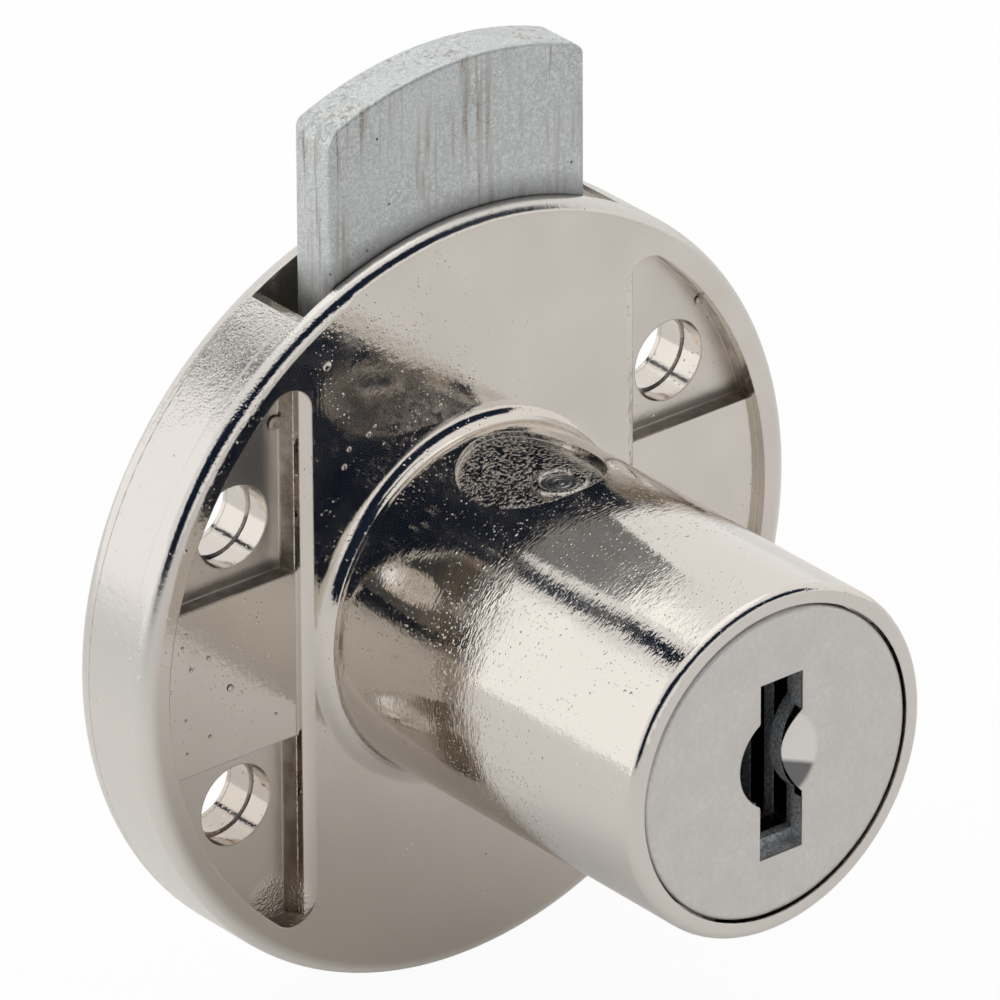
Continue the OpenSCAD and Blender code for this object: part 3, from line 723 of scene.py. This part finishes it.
class LOCK_OT_raise_pimples(Operator):
    """Adds the few pimples that the plating left on the front of the case"""

    bl_idname = "lock.raise_pimples"
    bl_label = "Raise the pimples"

    def execute(self, context):
        marks = context.scene.lock_marks
        # Across, up and depth of each pimple in millimetres, and its size as a share of the largest
        places = (
            (-10.9, 12.2, 1.4, 0.9),
            (-8.8, 15.05, 0.0, 0.6),
            (-7.5, 10.2, 0.0, 0.35),
            (-7.8, 9.35, 0.0, 0.4),
            (-6.3, 10.6, 0.0, 0.4),
            (-5.9, 10.9, 0.0, 0.25),
            (-1.9, 10.7, 0.0, 0.3),
            (-14.45, -0.45, 0.5, 0.45),
            (-17.05, 3.3, 0.5, 0.18),
            (-17.3, 2.65, 0.5, 0.2),
            (-15.75, 1.6, 0.5, 0.25),
            (-16.8, 1.3, 0.5, 0.25),
            (-17.15, -1.3, 0.5, 0.2),
            (-15.7, -2.65, 0.5, 0.25),
            (-17.1, -3.1, 0.5, 0.18),
            (-11.7, -2.8, 0.5, 0.2),
            (15.4, 10.2, 1.4, 0.55),
        )
        deselect_all()
        bpy.ops.mesh.primitive_uv_sphere_add(segments=24, ring_count=12, radius=marks.pimple_radius)
        dome = named("pimple")
        bpy.ops.object.mode_set(mode="EDIT")
        bpy.ops.mesh.select_all(action="SELECT")
        foot = (0, 0.15 * marks.pimple_radius, 0)
        bpy.ops.mesh.bisect(plane_co=foot, plane_no=(0, 1, 0), use_fill=True, clear_outer=True)
        bpy.ops.mesh.select_all(action="SELECT")
        bpy.ops.transform.resize(value=(1, marks.pimple_height, 1))
        bpy.ops.object.mode_set(mode="OBJECT")
        bpy.ops.object.shade_smooth_by_angle(angle=math.radians(40))
        copies = []
        for x, z, depth, size in places:
            copy = dome.copy()
            copy.data = dome.data.copy()
            context.collection.objects.link(copy)
            settle(copy, Matrix.Translation((x * MM, depth * MM, z * MM)) @ Matrix.Scale(size, 4))
            copies.append(copy)
        bpy.data.objects.remove(dome)
        deselect_all()
        for copy in copies:
            copy.select_set(True)
        context.view_layer.objects.active = copies[0]
        bpy.ops.object.join()
        pimples = named("plate_pimples")
        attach(pimples, "case")
        bright_nickel(context.scene.lock_finishes).give("plate_pimples")
        return {"FINISHED"}


def surface(name, colour, strength=0.0):
    """A plain matt surface, or a glowing one where the strength is over 0."""
    material = bpy.data.materials.new(name)
    material.use_nodes = True
    shader = material.node_tree.nodes["Principled BSDF"]
    shader.inputs["Base Color"].default_value = (*shade(colour, 0 if strength else 1), 1)
    shader.inputs["Roughness"].default_value = 1
    shader.inputs["Specular IOR Level"].default_value = 0
    shader.inputs["Emission Color"].default_value = (*colour, 1)
    shader.inputs["Emission Strength"].default_value = strength
    return material


def card(name, direction, distance, size, material):
    """A studio card that faces the lock. The metal reflects it and the camera doesn't see it."""
    deselect_all()
    bpy.ops.mesh.primitive_plane_add(size=1)
    board = named(name)
    towards = Vector(direction).normalized()
    board.location = towards * distance
    board.rotation_euler = towards.to_track_quat("Z", "Y").to_euler()
    board.scale = (*size, 1)
    board.data.materials.append(material)
    board.visible_camera = False
    board.visible_shadow = False


def lamp(name, direction, distance, size, radiance):
    """A rectangular lamp that faces the lock and shows in the metal at that brightness."""
    deselect_all()
    bpy.ops.object.light_add(type="AREA")
    light = bpy.context.active_object
    light.name = name
    towards = Vector(direction).normalized()
    light.location = towards * distance
    light.rotation_euler = towards.to_track_quat("Z", "Y").to_euler()
    light.data.shape = "RECTANGLE"
    light.data.size, light.data.size_y = size
    light.data.energy = radiance * math.pi * size[0] * size[1]
    light.visible_camera = False


def seen(tree, directly, mirrored):
    """One share for what the camera sees, and another for what shows in metal or through glass."""
    path = tree.nodes.new("ShaderNodeLightPath")
    shares = {"Is Camera Ray": directly, "Is Glossy Ray": mirrored, "Is Transmission Ray": mirrored}
    total = None
    for name, share in shares.items():
        add = tree.nodes.new("ShaderNodeMath")
        add.operation = "MULTIPLY_ADD"
        tree.links.new(path.outputs[name], add.inputs[0])
        add.inputs[1].default_value = share
        add.inputs[2].default_value = 0
        if total:
            tree.links.new(total, add.inputs[2])
        total = add.outputs[0]
    return total


class LOCK_OT_set_up_studio(Operator):
    """Adds the floor, the white room, the cards, the lamps and the camera"""

    bl_idname = "lock.set_up_studio"
    bl_label = "Set up the studio"

    def execute(self, context):
        studio = context.scene.lock_studio
        self.lay_floor(studio)
        self.paint_room(context, studio)
        self.hang_cards(studio)
        lamp("softbox", (-0.68, 0.66, 0.32), 0.9, (0.62, 0.62), studio.softbox)
        lamp("overhead", (0.1, 0.25, 1), 1.0, (0.9, 0.9), studio.overhead)
        self.place_camera(context, studio)
        context.scene.view_settings.view_transform = "Standard"
        return {"FINISHED"}

    def lay_floor(self, studio):
        deselect_all()
        bpy.ops.mesh.primitive_plane_add(size=FLOOR_SIZE, location=(0, 0, CAD_BOX[0].z - FLOOR_GAP))
        floor = named("floor")
        material = surface("floor_paper", FLOOR_PAPER)
        floor.data.materials.append(material)
        tree = material.node_tree
        glow = tree.nodes.new("ShaderNodeEmission")
        mix = tree.nodes.new("ShaderNodeMixShader")
        tree.links.new(seen(tree, studio.floor_glow, studio.floor_mirrored), mix.inputs[0])
        tree.links.new(tree.nodes["Principled BSDF"].outputs[0], mix.inputs[1])
        tree.links.new(glow.outputs[0], mix.inputs[2])
        tree.links.new(mix.outputs[0], tree.nodes["Material Output"].inputs["Surface"])

    def paint_room(self, context, studio):
        world = bpy.data.worlds.new("white_room")
        context.scene.world = world
        world.use_nodes = True
        tree = world.node_tree
        background = tree.nodes["Background"]
        background.inputs["Color"].default_value = (1, 1, 1, 1)
        ramp = tree.nodes.new("ShaderNodeMapRange")
        ramp.inputs["To Min"].default_value = studio.daylight
        ramp.inputs["To Max"].default_value = 1
        tree.links.new(seen(tree, 1, 1), ramp.inputs["Value"])
        tree.links.new(ramp.outputs[0], background.inputs["Strength"])

    def hang_cards(self, studio):
        navy = surface("navy_cloth", NAVY)
        card("front_cloth", (-0.035, -1, 0.73), 0.9, (2.4, 0.68), navy)
        card("side_cloth", (-1.28, -1, 0.65), 0.92, (0.74, 0.98), navy)
        card("rear_slit", (-0.308, 0.684, 0.661), 1.2, (0.13, 0.9), navy)
        white = surface("white_board", (1, 1, 1), 1 + studio.softbox)
        card("left_board", (-0.72, 0.69, 0.11), 0.2, (0.34, 0.085), white)

    def place_camera(self, context, studio):
        az, el, roll = studio.azimuth, studio.elevation, studio.roll
        back = Vector((math.sin(az) * math.cos(el), -math.cos(az) * math.cos(el), math.sin(el)))
        level = Vector((math.cos(az), math.sin(az), 0))
        up = back.cross(level)
        right = math.cos(roll) * level + math.sin(roll) * up
        up = math.cos(roll) * up - math.sin(roll) * level
        place = back * studio.distance + right * studio.aim_right + up * studio.aim_up
        bpy.ops.object.camera_add()
        camera = context.active_object
        camera.name = "camera"
        camera.matrix_world = Matrix.Translation(place) @ Matrix((right, up, back)).transposed().to_4x4()
        camera.data.sensor_width = 36
        camera.data.lens = camera.data.sensor_width * studio.distance / studio.frame_width
        camera.data.clip_start = 0.01
        context.scene.camera = camera


class LOCK_PT_sidebar(Panel):
    """Lists the lock's steps and settings"""

    bl_idname = "LOCK_PT_sidebar"
    bl_label = "Drawer lock"
    bl_space_type = "VIEW_3D"
    bl_region_type = "UI"
    bl_category = "Drawer lock"

    def draw(self, context):
        for step in STEPS:
            self.layout.operator(step.bl_idname)
        for group in (context.scene.lock_finishes, context.scene.lock_marks, context.scene.lock_studio):
            box = self.layout.box()
            for name in group.__annotations__:
                box.prop(group, name)


STEPS = (
    LOCK_OT_plate_case,
    LOCK_OT_cast_bolt,
    LOCK_OT_plate_plug,
    LOCK_OT_finish_small_parts,
    LOCK_OT_stake_pin,
    LOCK_OT_raise_pimples,
    LOCK_OT_set_up_studio,
)
CLASSES = (LockFinishes, LockMarks, LockStudio, *STEPS, LOCK_PT_sidebar)


def register():
    for part in CLASSES:
        bpy.utils.register_class(part)
    bpy.types.Scene.lock_finishes = PointerProperty(type=LockFinishes)
    bpy.types.Scene.lock_marks = PointerProperty(type=LockMarks)
    bpy.types.Scene.lock_studio = PointerProperty(type=LockStudio)


def unregister():
    del bpy.types.Scene.lock_studio
    del bpy.types.Scene.lock_marks
    del bpy.types.Scene.lock_finishes
    for part in reversed(CLASSES):
        bpy.utils.unregister_class(part)


def main():
    register()
    bpy.ops.lock.plate_case()
    bpy.ops.lock.cast_bolt()
    bpy.ops.lock.plate_plug()
    bpy.ops.lock.finish_small_parts()
    bpy.ops.lock.stake_pin()
    bpy.ops.lock.raise_pimples()
    bpy.ops.lock.set_up_studio()


if __name__ == "__main__":
    main()
